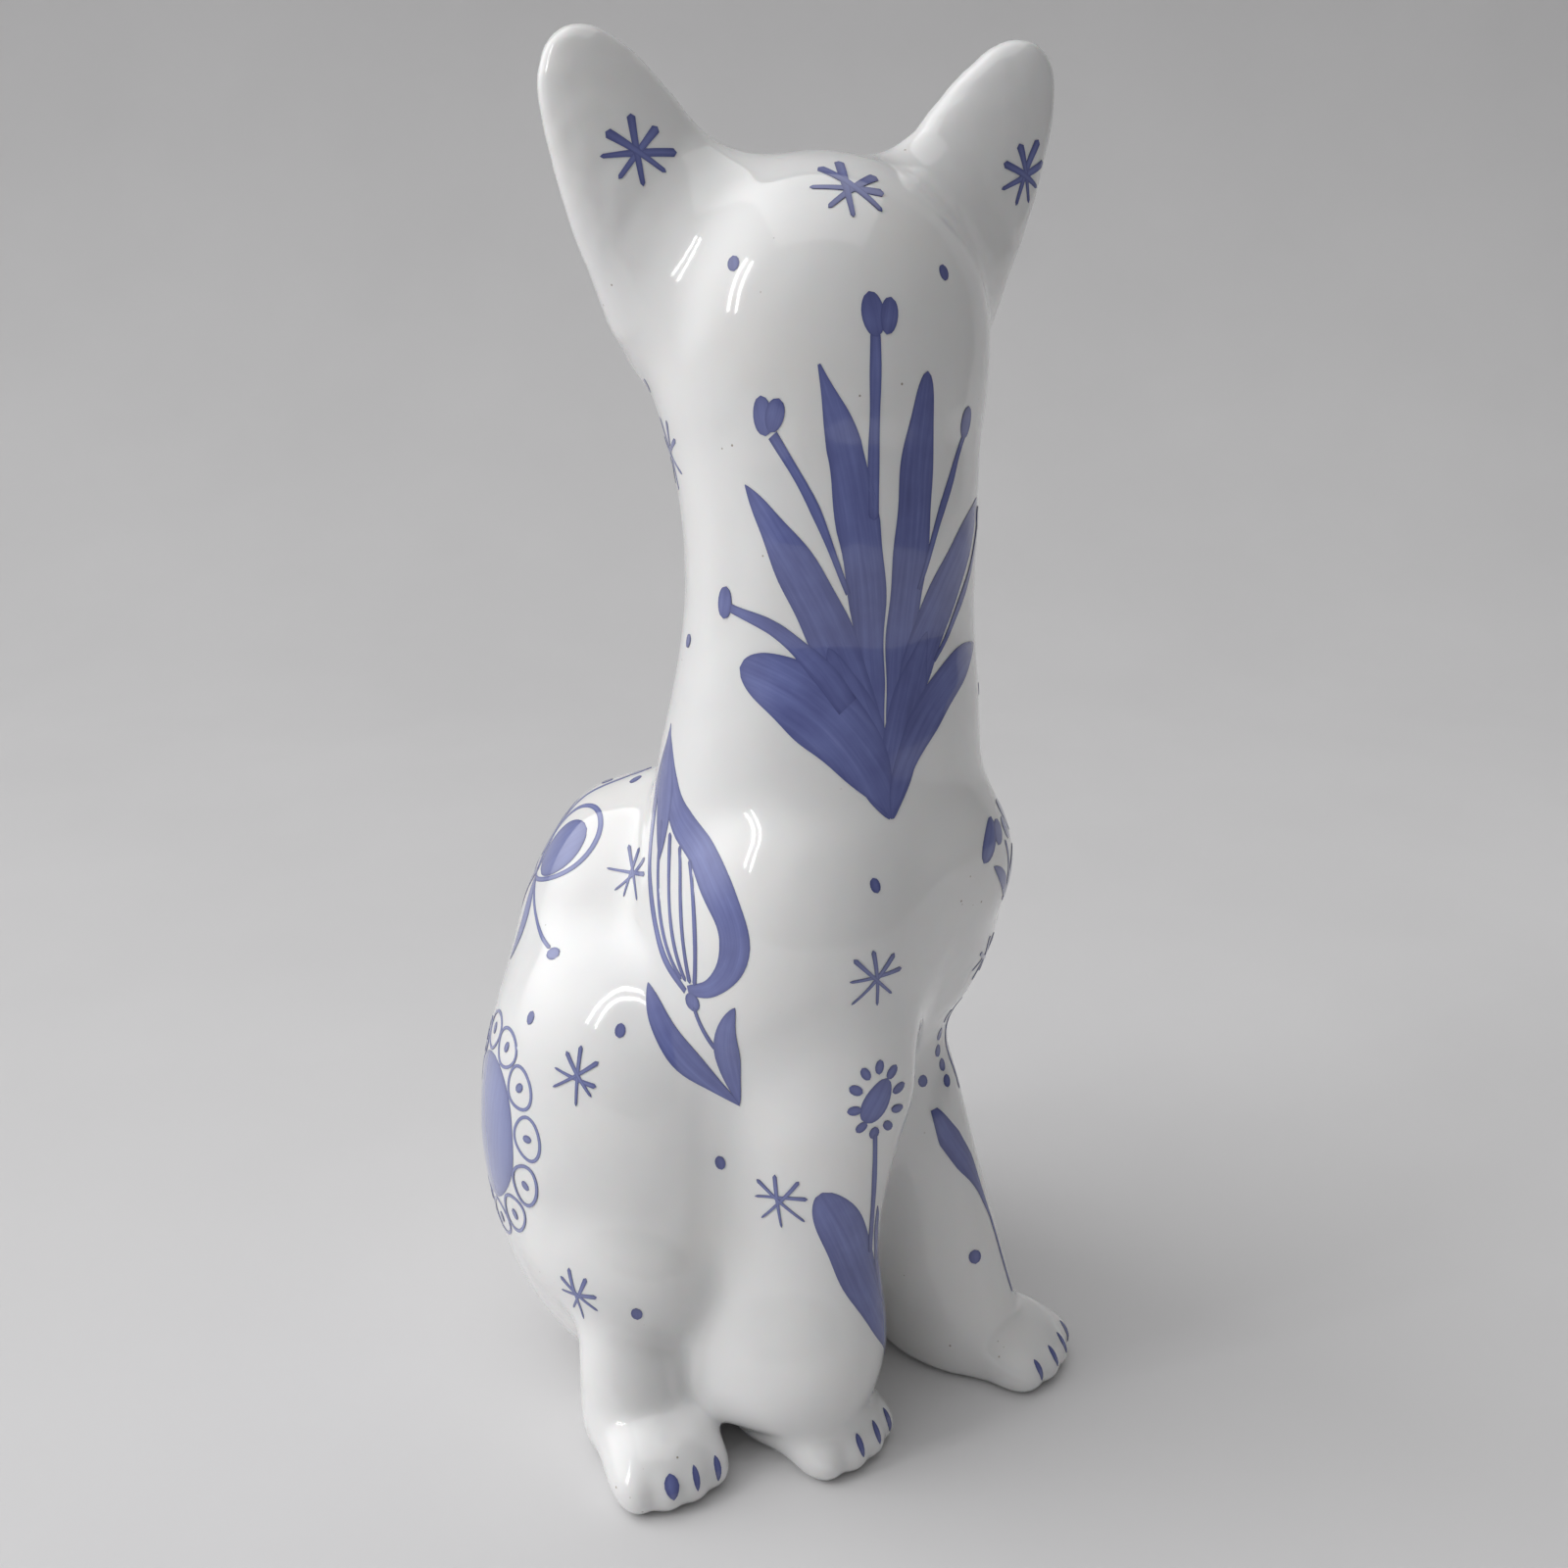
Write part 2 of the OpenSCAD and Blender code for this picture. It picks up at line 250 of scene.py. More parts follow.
face = smooth_min(face, ellipsoid(side_x, hy, bz, (6.5, -58, 259), (8, 8, 7)), 3)
face = smooth_min(face, ellipsoid(hx, hy, bz, (0, -54, 250.5), (7, 6, 5)), 3)
face = smooth_min(face, ellipsoid(hx, hy, bz, (0, -62.5, 267), (5.5, 4, 3.6)), 2.5)
skin[block] = face


# ---- reading the finished skin ----
def sample(points):
    """The skin's field at points in millimetres, interpolated."""
    cell = points / VOXEL - grid_low
    corner = np.clip(np.floor(cell).astype(int), 0, grid_shape - 2)
    t = np.clip(cell - corner, 0, 1)
    total = np.zeros(len(points))
    for i in (0, 1):
        for j in (0, 1):
            for k in (0, 1):
                weight = (t[:, 0] if i else 1 - t[:, 0]) * (t[:, 1] if j else 1 - t[:, 1])
                weight = weight * (t[:, 2] if k else 1 - t[:, 2])
                total += weight * skin[corner[:, 0] + i, corner[:, 1] + j, corner[:, 2] + k]
    return total


def normals_at(points):
    """Outward unit normals of the skin near points."""
    step = 0.8 * VOXEL
    slope = np.stack([
        sample(points + step * axis) - sample(points - step * axis) for axis in np.eye(3)], 1)
    return slope / np.maximum(np.linalg.norm(slope, axis=1, keepdims=True), 1e-9)


def settle(points, rounds=3):
    """Moves points that are near the skin onto it."""
    for _ in range(rounds):
        points = points - sample(points)[:, None] * normals_at(points)
    return points


def land(points, ways, rounds=40):
    """Where rays from points outside, along the unit directions ways, first meet the skin."""
    caution = 0.8                  # share of the distance to go at once, as the blended field isn't exact
    for _ in range(rounds):
        points = points + caution * np.clip(sample(points), -2, REACH)[:, None] * ways
    return points


# ---- pieces ----
def add_piece(name, points, faces, normals, material):
    """A mesh piece in the frame's metres, shaded with the given vertex normals."""
    mesh = bpy.data.meshes.new(name)
    mesh.from_pydata((points * MM).tolist(), [], [tuple(f) for f in faces.tolist()])
    mesh.polygons.foreach_set("use_smooth", np.ones(len(mesh.polygons), bool))
    mesh.normals_split_custom_set_from_vertices(normals.tolist())
    mesh.materials.append(material)
    obj = bpy.data.objects.new(name, mesh)
    bpy.context.scene.collection.objects.link(obj)
    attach(obj, "root")
    return obj


# ---- materials ----
class Shader:
    """A Principled material with short names for adding and linking nodes."""

    def __init__(self, name):
        self.material = bpy.data.materials.new(name)
        self.material.use_nodes = True
        self.tree = self.material.node_tree
        self.base = self.tree.nodes["Principled BSDF"]

    def add(self, kind, **values):
        node = self.tree.nodes.new(kind)
        for key, value in values.items():
            if key in node.inputs:
                node.inputs[key].default_value = value
            else:
                setattr(node, key, value)
        return node

    def link(self, source, target):
        self.tree.links.new(source, target)

    def constants(self, **values):
        for key, value in values.items():
            self.base.inputs[key.replace("_", " ")].default_value = value

    def noise(self, coordinates, scale, detail=3.0, roughness=0.55):
        node = self.add("ShaderNodeTexNoise", Scale=scale, Detail=detail, Roughness=roughness)
        self.link(coordinates, node.inputs["Vector"])
        return node.outputs["Fac"]

    def ramp(self, factor, *stops):
        node = self.add("ShaderNodeValToRGB")
        elements = node.color_ramp.elements
        while len(elements) < len(stops):
            elements.new(0.5)
        for element, (position, colour) in zip(elements, stops):
            element.position = position
            element.color = (*colour, 1)
        self.link(factor, node.inputs["Fac"])
        return node.outputs["Color"]

    def mix(self, factor, a, b):
        node = self.add("ShaderNodeMix", data_type="RGBA")
        for value, socket in ((factor, node.inputs[0]), (a, node.inputs[6]), (b, node.inputs[7])):
            if isinstance(value, bpy.types.NodeSocket):
                self.link(value, socket)
            else:
                socket.default_value = value
        return node.outputs[2]

    def spread(self, factor, from_low, from_high, low, high):
        node = self.add("ShaderNodeMapRange")
        ends = {"From Min": from_low, "From Max": from_high, "To Min": low, "To Max": high}
        for key, value in ends.items():
            node.inputs[key].default_value = value
        self.link(factor, node.inputs["Value"])
        return node.outputs["Result"]

    def bump(self, factor, strength, distance):
        node = self.add("ShaderNodeBump", Strength=strength, Distance=distance)
        self.link(factor, node.inputs["Height"])
        return node.outputs["Normal"]


def glaze_finish(shader, position):
    """The gloss that the white skin and the brush strokes share: one glaze lies over both."""
    shader.constants(Specular_IOR_Level=0.5, IOR=1.52, Coat_Weight=0.6, Coat_Roughness=0.03, Coat_IOR=1.5)
    roughness = shader.spread(shader.noise(position, 140), 0.3, 0.7, 0.07, 0.13)
    shader.link(roughness, shader.base.inputs["Roughness"])
    ripple = shader.bump(shader.noise(position, 90, detail=1.0), 0.05, 1.2 * MM)
    shader.link(ripple, shader.base.inputs["Normal"])
    shader.link(ripple, shader.base.inputs["Coat Normal"])


def white_glaze():
    shader = Shader("white_glaze")
    position = shader.add("ShaderNodeNewGeometry").outputs["Position"]
    tone = shader.ramp(
        shader.noise(position, 22, detail=4.0),
        (0.3, (0.83, 0.83, 0.835)), (0.55, (0.87, 0.868, 0.865)), (0.75, (0.875, 0.862, 0.845)))
    specks = shader.add("ShaderNodeTexVoronoi", Scale=260.0)
    shader.link(position, specks.inputs["Vector"])
    rare = shader.spread(shader.noise(position, 60, detail=0.0), 0.66, 0.7, 0, 1)
    small = shader.spread(specks.outputs["Distance"], 0.05, 0.09, 1, 0)
    both = shader.add("ShaderNodeMath", operation="MULTIPLY")
    shader.link(rare, both.inputs[0])
    shader.link(small, both.inputs[1])
    speckled = shader.mix(both.outputs[0], tone, (0.36, 0.31, 0.26, 1))
    shader.link(speckled, shader.base.inputs["Base Color"])
    shader.constants(Subsurface_Weight=0.08, Subsurface_Scale=2 * MM)
    glaze_finish(shader, position)
    return shader.material


def cobalt():
    """Brushed blue: streaks along the stroke, and darker where the brush stopped or the colour pooled."""
    shader = Shader("cobalt_brush")
    position = shader.add("ShaderNodeNewGeometry").outputs["Position"]
    brush = shader.add("ShaderNodeAttribute", attribute_name="brush").outputs["Vector"]
    stretch = shader.add("ShaderNodeMapping")
    stretch.inputs["Scale"].default_value = (0.03, 0.62, 1.0)
    shader.link(brush, stretch.inputs["Vector"])
    streaks = shader.noise(stretch.outputs["Vector"], 1.3, detail=3.0)
    wash = shader.noise(position, 70, detail=3.0)
    blend = shader.add("ShaderNodeMath", operation="MULTIPLY_ADD")
    shader.link(wash, blend.inputs[0])
    blend.inputs[1].default_value = 0.45
    shader.link(shader.spread(streaks, 0, 1, 0.08, 0.5), blend.inputs[2])
    blue = shader.ramp(
        blend.outputs[0],
        (0.25, (0.085, 0.095, 0.255)), (0.45, (0.125, 0.145, 0.37)),
        (0.62, (0.17, 0.2, 0.47)), (0.85, (0.25, 0.29, 0.58)))
    ink = shader.add("ShaderNodeSeparateXYZ")
    tones = shader.add("ShaderNodeAttribute", attribute_name="ink").outputs["Vector"]
    shader.link(tones, ink.inputs["Vector"])
    washed = shader.mix(ink.outputs["X"], blue, (0.32, 0.36, 0.62, 1))
    pooled = shader.mix(ink.outputs["Y"], washed, (0.075, 0.085, 0.25, 1))
    shader.link(pooled, shader.base.inputs["Base Color"])
    glaze_finish(shader, position)
    return shader.material


def bare_clay():
    shader = Shader("bare_clay")
    position = shader.add("ShaderNodeNewGeometry").outputs["Position"]
    tone = shader.ramp(
        shader.noise(position, 160, detail=5.0), (0.3, (0.66, 0.6, 0.52)), (0.7, (0.8, 0.75, 0.67)))
    shader.link(tone, shader.base.inputs["Base Color"])
    shader.constants(Roughness=0.85)
    grain = shader.bump(shader.noise(position, 900, detail=4.0), 0.4, 0.2 * MM)
    shader.link(grain, shader.base.inputs["Normal"])
    return shader.material


white = white_glaze()
blue = cobalt()
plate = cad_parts[PLATE]
plate.data.materials.clear()
plate.data.materials.append(bare_clay())

# ---- the glazed skin, one piece for each casting ----
points, quads = surface_of(skin)
points = settle(points)
cells = np.clip(np.rint(points / VOXEL).astype(int) - grid_low, 0, grid_shape - 1)
nearness = np.stack([fields[name][tuple(cells.T)] for name in GLAZED + [PLATE]], 1)
inside = np.abs(nearness)
owner = np.argmin(np.stack([inside[quads, k].mean(1) for k in range(len(GLAZED) + 1)], 1), 1)
normals = normals_at(points)
corner = points[quads]
outward = np.cross(corner[:, 2] - corner[:, 0], corner[:, 3] - corner[:, 1])
if (outward * normals[quads[:, 0]]).sum() < 0:
    quads = quads[:, ::-1]
for k, name in enumerate(GLAZED):
    own = quads[owner == k]
    used, renumbered = np.unique(own, return_inverse=True)
    part = add_piece("glaze_" + name, points[used], renumbered.reshape(-1, 4), normals[used], white)
    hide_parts(name)

# ---- brushwork ----
SPINE_HEIGHTS = (0, 85, 130, 155, 180, 206)        # the body's middle line, as the castings have it
SPINE_X = (0, 0, 1, 3, 5, 6)
SPINE_Y = (17, 17, 14, 8, -4, -9)
OUTSIDE = 90                       # a ray starts this far from the middle line, clear of the figurine
SHEET_LIFT = 14                    # or this far off the skin, where a flat sheet is pressed on


def heading(azimuth, elevation=0.0):
    """Unit direction at an angle from the front of the body, turning towards the cat's left."""
    a, e = math.radians(azimuth), math.radians(elevation)
    return np.array([math.sin(a) * math.cos(e), -math.cos(a) * math.cos(e), math.sin(e)])


def from_head(across, ahead=0.0):
    """Where a spot given in the head's own axes, with the face at -y, stands in the frame."""
    return (
        NECK_AXIS[0] + turn_cos * across - turn_sin * ahead,
        NECK_AXIS[1] + turn_sin * across + turn_cos * ahead)


class Canvas:
    """A sheet pressed onto the skin, with s to the right and t up in millimetres from one spot."""

    def __init__(self, azimuth, height, axis=None, elevation=0, tilt=0, wrap=False, level=False):
        if axis is None:
            axis = [np.interp(height, SPINE_HEIGHTS, line) for line in (SPINE_X, SPINE_Y)]
        self.middle = np.array([*axis, height], float)
        self.azimuth = azimuth
        self.wrap = wrap
        self.tilt = math.radians(tilt)
        out = heading(azimuth, elevation)
        self.spot = land((self.middle + OUTSIDE * out)[None], -out[None])[0]
        self.radius = np.linalg.norm((self.spot - self.middle)[:2])
        self.normal = out if level else normals_at(self.spot[None])[0]
        right = heading(azimuth + 90)
        right = right - (right @ self.normal) * self.normal
        self.right = right / np.linalg.norm(right)
        self.up = np.cross(self.normal, self.right)

    def rays(self, flat):
        """Starts and directions of the rays that carry flat points to the skin."""
        c, s = math.cos(self.tilt), math.sin(self.tilt)
        across = (c * flat[:, 0] - s * flat[:, 1])[:, None]
        along = (s * flat[:, 0] + c * flat[:, 1])[:, None]
        if not self.wrap:
            starts = self.spot + across * self.right + along * self.up + SHEET_LIFT * self.normal
            return starts, np.repeat(-self.normal[None], len(flat), 0)
        angle = math.radians(self.azimuth) + across / self.radius
        out = np.concatenate([np.sin(angle), -np.cos(angle), np.zeros_like(angle)], 1)
        return self.middle + along * np.array([0, 0, 1.0]) + OUTSIDE * out, -out


class Painting:
    """Brush strokes on one or more canvases, made into one piece of thin closed shells."""

    STEP = 1.25                    # spacing of the points of a stroke
    CROWDING = 0.35                # how much closer together the points are towards a stroke's ends
    THINNEST = 0.06                # no stroke's half width is less
    WOBBLE_SHARE = 0.07            # share of the half width that an unsteady hand adds or takes
    WOBBLE = 0.22                  # and the most that it comes to
    WOBBLE_LENGTH = 3.1            # a wobble is this long for each radian
    POOL_LENGTH = 2.2              # how far in from its ends a stroke is darker
    STROKE_SHIFT = 61              # moves each stroke to its own part of the streaks
    SUNK = 0.35                    # how far a stroke's underside lies below the skin
    LIFT = 0.1                     # how far its top stands above the skin, and what each
    LIFT_STEP = 0.012              # stroke over another adds, so that no two tops coincide
    LAYERS = 12

    def __init__(self, name):
        self.name = name
        self.strokes = []

    def on(self, canvas, tone=0.0):
        """Chooses the canvas, and how thin the colour is, from 0 for full cobalt to 1 for a pale wash."""
        self.canvas = canvas
        self.tone = tone
        return self

    def brush(self, path, half_width, closed=False, step=None):
        """A stroke along a path of flat points, with its half width given along 0..1 of its length."""
        step = step or self.STEP
        path = np.array(path, float)
        if closed:
            path = np.concatenate([path, path[:1]])
        lengths = np.concatenate([[0], np.cumsum(np.linalg.norm(np.diff(path, axis=0), axis=1))])
        rows = max(7, math.ceil(lengths[-1] / step) + 1)
        u = np.linspace(0, 1, rows)
        if not closed:
            u = u - self.CROWDING * np.sin(2 * math.pi * u) / (2 * math.pi)
        centre = np.stack([np.interp(u * lengths[-1], lengths, path[:, k]) for k in (0, 1)], 1)
        if closed:
            centre, u = centre[:-1], u[:-1]
            slope = np.roll(centre, -1, 0) - np.roll(centre, 1, 0)
        else:
            slope = np.gradient(centre, axis=0)
        slope /= np.maximum(np.linalg.norm(slope, axis=1, keepdims=True), 1e-9)
        side = np.stack([-slope[:, 1], slope[:, 0]], 1)
        wide = np.maximum(half_width(u), self.THINNEST)
        waver = np.sin(rng.uniform(0, 2 * math.pi) + u * lengths[-1] / self.WOBBLE_LENGTH)
        if not closed:
            wide = wide + np.minimum(self.WOBBLE_SHARE * wide, self.WOBBLE) * waver
        columns = max(3, math.ceil(2 * wide.max() / step) + 1)
        v = np.linspace(-1, 1, columns)
        flat = centre[:, None] + side[:, None] * (wide[:, None] * v)[:, :, None]
        starts, ways = self.canvas.rays(flat.reshape(-1, 2))
        along = np.repeat(u * lengths[-1], columns) + self.STROKE_SHIFT * len(self.strokes)
        offset = (wide[:, None] * v).ravel()
        end = np.zeros(len(centre))
        if not closed:
            end = np.exp(-np.minimum(u, 1 - u) * lengths[-1] / self.POOL_LENGTH)
        pool = np.clip(0.6 * np.abs(v) ** 6 + 0.5 * end[:, None], 0, 1).ravel()
        self.strokes.append((starts, ways, len(centre), columns, closed, along, offset, pool, self.tone))

    def leaf(self, root, tip, width, bow=0.0, widest=0.45, root_shape=0.8, tip_shape=0.7):
        """A blade from root to tip, bowed to its left; a shape of 1 ends in a point and 0.5 is round."""
        def half_width(u):
            rising = np.clip(u / widest, 0, 1)
            falling = np.clip((1 - u) / (1 - widest), 0, 1)
            return 0.5 * width * np.where(
                u < widest, np.sin(math.pi / 2 * rising) ** root_shape,
                np.sin(math.pi / 2 * falling) ** tip_shape)
        self.brush(bowed(root, tip, bow), half_width)

    def line(self, root, tip, width, bow=0.0, swell=0.0):
        """A thin line with round ends, swelling towards its tip by that share."""
        path = bowed(root, tip, bow)
        length = np.linalg.norm(np.diff(path, axis=0), axis=1).sum()

        def half_width(u):
            from_end = np.minimum(u, 1 - u) * length / (0.5 * width)
            cap = np.sqrt(np.clip(1 - np.clip(1 - from_end, 0, 1) ** 2, 0, 1))
            return 0.5 * width * (1 + swell * (u - 0.5)) * cap
        self.brush(path, half_width, step=1.0)

    def dot(self, spot, across, tall=None, turn=0.0):
        """A filled oval, across by tall, turned that many degrees to the left."""
        tall = tall or across
        a = math.radians(turn + 90)
        reach = 0.5 * tall * np.array([math.cos(a), math.sin(a)])
        spot = np.array(spot, float)
        self.brush(
            np.linspace(spot - reach, spot + reach, 9),
            lambda u: 0.5 * across * np.sqrt(np.clip(1 - (2 * u - 1) ** 2, 0, 1)), step=0.9)

    def ring(self, root, tip, width, line_width, pinch=0.0):
        """An outlined petal that touches root and tip; pinch draws its root to a point."""
        root, tip = np.array(root, float), np.array(tip, float)
        ahead = tip - root
        side = np.array([-ahead[1], ahead[0]]) / np.linalg.norm(ahead)
        turn = np.linspace(0, 2 * math.pi, 48, endpoint=False)[:, None]
        share = (1 - np.cos(turn)) / 2
        narrowing = 1 - pinch * (1 - share) ** 2
        path = root + ahead * share + side * 0.5 * width * np.sin(turn) * narrowing
        self.brush(path, lambda u: np.full_like(u, 0.5 * line_width), closed=True, step=1.0)

    def star(self, size, turn=0.0, spot=(0, 0), strokes=4, weight=0.8):
        """Crossed strokes, a little uneven, thicker where the brush came down."""
        for k in range(strokes):
            a = math.radians(turn + 180 * k / strokes + rng.uniform(-7, 7))
            reach = 0.5 * size * rng.uniform(0.85, 1.1) * np.array([math.cos(a), math.sin(a)])
            middle = np.array(spot, float) + rng.uniform(-0.05, 0.05, 2) * size
            self.line(middle - reach, middle + reach, weight, bow=rng.uniform(-0.4, 0.4), swell=0.7)

    def finish(self):
        """Lands every stroke on the skin and adds the piece."""
        starts, ways = (np.concatenate([stroke[k] for stroke in self.strokes]) for k in (0, 1))
        landed = land(starts, ways)
        normals = normals_at(landed)
        points, faces, shading = [], [], []
        brush, ink = [], []
        first, base = 0, 0
        for k, (_, _, rows, columns, closed, along, offset, pool, tone) in enumerate(self.strokes):
            count = rows * columns
            skin_points, out = landed[first:first + count], normals[first:first + count]
            lift = self.LIFT + self.LIFT_STEP * (k % self.LAYERS)
            points += [skin_points + lift * out, skin_points - self.SUNK * out]
            shading += [out, out]
            brush += 2 * [np.stack([along, offset, np.full(count, float(k))], 1)]
            ink += 2 * [np.stack([np.full(count, tone), pool, np.zeros(count)], 1)]
            faces.append(shell_faces(rows, columns, closed) + base)
            first += count
            base += 2 * count
        points, faces = np.concatenate(points), np.concatenate(faces)
        piece = add_piece(self.name, points, faces, np.concatenate(shading), blue)
        for key, values in (("brush", brush), ("ink", ink)):
            attribute = piece.data.attributes.new(key, "FLOAT_VECTOR", "POINT")
            attribute.data.foreach_set("vector", np.concatenate(values).astype(np.float32).ravel())


def shell_faces(rows, columns, closed):
    """Quads of a closed slab whose top grid comes first and whose underside follows it."""
    index = np.arange(rows * columns).reshape(rows, columns)
    if closed:
        index = np.concatenate([index, index[:1]])
    under = index + rows * columns

    def quads(grid):
        return np.stack([grid[:-1, :-1], grid[1:, :-1], grid[1:, 1:], grid[:-1, 1:]], -1).reshape(-1, 4)

    def edge(top, bottom):
        return np.stack([top[:-1], bottom[:-1], bottom[1:], top[1:]], -1)

    sides = [edge(index[:, 0], under[:, 0]), edge(index[::-1, -1], under[::-1, -1])]
    if not closed:
        sides += [edge(index[0, ::-1], under[0, ::-1]), edge(index[-1], under[-1])]
    return np.concatenate([quads(index), quads(under)[:, ::-1], *sides])


def bowed(start, end, bow):
    """Points on a curve from start to end whose middle stands that far to the left of the straight line."""
    start, end = np.array(start, float), np.array(end, float)
    ahead = end - start
    side = np.array([-ahead[1], ahead[0]]) / max(np.linalg.norm(ahead), 1e-9)
    bend = (start + end) / 2 + 2 * bow * side
    u = np.linspace(0, 1, 33)[:, None]
    return (1 - u) ** 2 * start + 2 * u * (1 - u) * bend + u ** 2 * end


def curve(*knots):
    """Points on a smooth curve through the knots."""
    knots = np.array(knots, float)
    padded = np.concatenate([2 * knots[:1] - knots[1:2], knots, 2 * knots[-1:] - knots[-2:-1]])
    t = np.linspace(0, 1, 9)[:-1, None]
    pieces = []
    for a, b, c, d in zip(padded, padded[1:], padded[2:], padded[3:]):
        pieces.append(0.5 * (2 * b + (c - a) * t + (2 * a - 5 * b + 4 * c - d) * t ** 2
                             + (3 * b - a - 3 * c + d) * t ** 3))
    return np.concatenate(pieces + [knots[-1:]])


def widths(*values):
    """Half widths that pass smoothly through the given full widths, evenly spaced along a stroke."""
    spots = np.linspace(0, 1, len(values))
    return lambda u: 0.5 * np.interp(u, spots, values)


def mirrored(side):
    """A function that gives a spot drawn for the right side (-1) its place on that side."""
    return lambda s, t: (-side * s, t)


# ---- the fan of leaves up the back of the neck ----
nape = Canvas(-34, 166, wrap=True, axis=NECK_AXIS[:2])
plant = Painting("paint_neck_fan").on(nape)
plant.line((-2.5, 66), (-2, 106), 3.0)
plant.dot((-2.4, 109), 6.2, 9.4, turn=12)
plant.dot((2.2, 108.6), 5.2, 7.8, turn=-15)
plant.brush(curve((-9, 50), (-18, 69), (-29, 84)), widths(1.2, 2.5, 2.6))
plant.dot((-31.5, 88), 5.4, 8.6, turn=8)
plant.dot((-28.4, 88.2), 4.8, 7.6, turn=-18)
plant.brush(curve((10.5, 50), (18, 66), (29.5, 82)), widths(1.0, 2.3, 1.7))
plant.dot((30, 85), 5.2, 7.2, turn=-8)
plant.brush(curve((-9, 25), (-16, 33), (-28, 41.5), (-42, 45)), widths(6.0, 5.2, 3.2, 2.2))
plant.dot((-44, 46), 5.0, 7.6, turn=-8)
plant.brush(curve((16, 33), (25, 41), (42, 60)), widths(0.8, 2.2, 1.4))
plant.dot((43.5, 62), 4.2, 5.4)
plant.brush(
    curve((-0.5, 11), (-2.6, 30), (-4, 50), (-7.5, 70), (-11, 84), (-17, 99)),
    widths(1, 6, 9.5, 11.5, 9.5, 0.8))
plant.leaf((2, 4), (13.5, 97), 10.6, bow=0.6, widest=0.72, root_shape=0.6, tip_shape=0.5)
plant.leaf((-1, 8), (-37, 73), 12, bow=-5, widest=0.55, root_shape=0.6, tip_shape=0.8)
plant.leaf((4, 18), (41, 67), 12, bow=5, widest=0.55, root_shape=0.6)
plant.leaf((0.4, -1), (-14, 38), 11.5, bow=-1.2, root_shape=0.75)
plant.leaf((1.4, -1), (14, 40), 10.5, bow=2.2, root_shape=0.75)
plant.leaf((1, -1), (-38, 32), 17, bow=-8, widest=0.55, root_shape=0.9, tip_shape=0.5)
plant.leaf((1, -1), (39, 33), 9.5, bow=9, widest=0.6, root_shape=0.8, tip_shape=0.7)
plant.finish()

# ---- the tulip on each shoulder ----
BROAD_RIM = (
    (-17, 37), (-8.5, 21.5), (5.5, 14), (15.5, 6), (19.8, -1), (19, -8), (13.5, -14.5), (6, -17.5))
NARROW_RIM = ((-17, 37), (-21, 22), (-19.5, 8), (-14, -2), (-5, -12), (5, -18))
for side, name in ((-1, "right"), (1, "left")):
    shoulder = Canvas(side * 95, 140, axis=(0, -5), level=True)
    tulip = Painting("paint_tulip_" + name).on(shoulder)
    place = mirrored(side)
    bend = -side
    broad = [place(*knot) for knot in BROAD_RIM]
    tulip.brush(curve(*broad), widths(0.8, 6.5, 8.5, 9.0, 9.0, 8.0, 5.5, 2.2))
    narrow = [place(*knot) for knot in NARROW_RIM]
    tulip.brush(curve(*narrow), widths(0.8, 3.6, 2.6, 2.0, 2.2, 1.8))
    tulip.leaf(place(-17.5, 39), place(-13, 7), 9, widest=0.5, root_shape=1.0, tip_shape=1.0)
    for k in range(4):
        top = place(-14.5 + 5.0 * k, 17 - 1.6 * k)
        foot = place(3.5 + 1.6 * k, -15.5)
        tulip.line(top, foot, 1.3, bow=bend * (-5.0 + 2.6 * k))
    tulip.dot(place(7.5, -20), 4.8, 4.6)
    tulip.line(place(8, -21), place(13.5, -31), 1.2, bow=bend * -0.6)
    tulip.leaf(place(17.8, -45.5), place(-8, -20), 6.4, bow=bend * 1.2, widest=0.52)
    tulip.leaf(place(17.8, -45), place(20.5, -17.5), 6.2, bow=bend * 3.0, widest=0.5)
    tulip.finish()

# ---- the sunflower on each haunch ----
for side, name in ((-1, "right"), (1, "left")):
    sunflower = Painting("paint_haunch_flower_" + name).on(Canvas(side * 122, 71), tone=0.55)
    sunflower.dot((0, 0), 33, 39)
    petals = 12
    for k in range(petals):
        a = 2 * math.pi * (k + 0.5) / petals
        ray = np.array([math.cos(a), math.sin(a)])
        root, tip = ray * (17.2, 20.2), ray * (26.5, 29.5)
        sunflower.ring(root, tip, 12, 0.85, pinch=0.3)
        sunflower.dot(root + 0.55 * (tip - root), 2.2, 3.0, turn=math.degrees(a) - 90)
    sunflower.finish()

# ---- the spray on the rump, and its twin on the other side ----
for side, name in ((-1, "right"), (1, "left")):
    spray = Painting("paint_rump_spray_" + name).on(Canvas(side * 154, 128), tone=0.35)
    place = mirrored(side)
    spray.ring(place(3, 1), place(11.5, 27), 21, 1.3, pinch=0.45)
    spray.dot(place(8.2, 13.5), 13.5, 20, turn=side * 18)
    spray.ring(place(2, 1), place(-19, 16), 18, 1.3, pinch=0.45)
    spray.dot(place(-8, 9), 11, 15, turn=side * -52)
    spray.leaf(place(3, 1), place(13.5, -20), 5.6, bow=side * -1.6, widest=0.6)
    spray.leaf(place(2, 0), place(-9, -21), 5.4, bow=side * 1.6, widest=0.6)
    spray.line(place(4, 1), place(31, -2.5), 1.0, bow=side * 3.0)
    spray.dot(place(33.5, -2.2), 3.2, 4.6, turn=side * 60)
    spray.line(place(2, 2), place(-5, 34), 1.0, bow=side * -2.0)
    spray.dot(place(-5.5, 36), 3.0, 4.2)
    spray.finish()

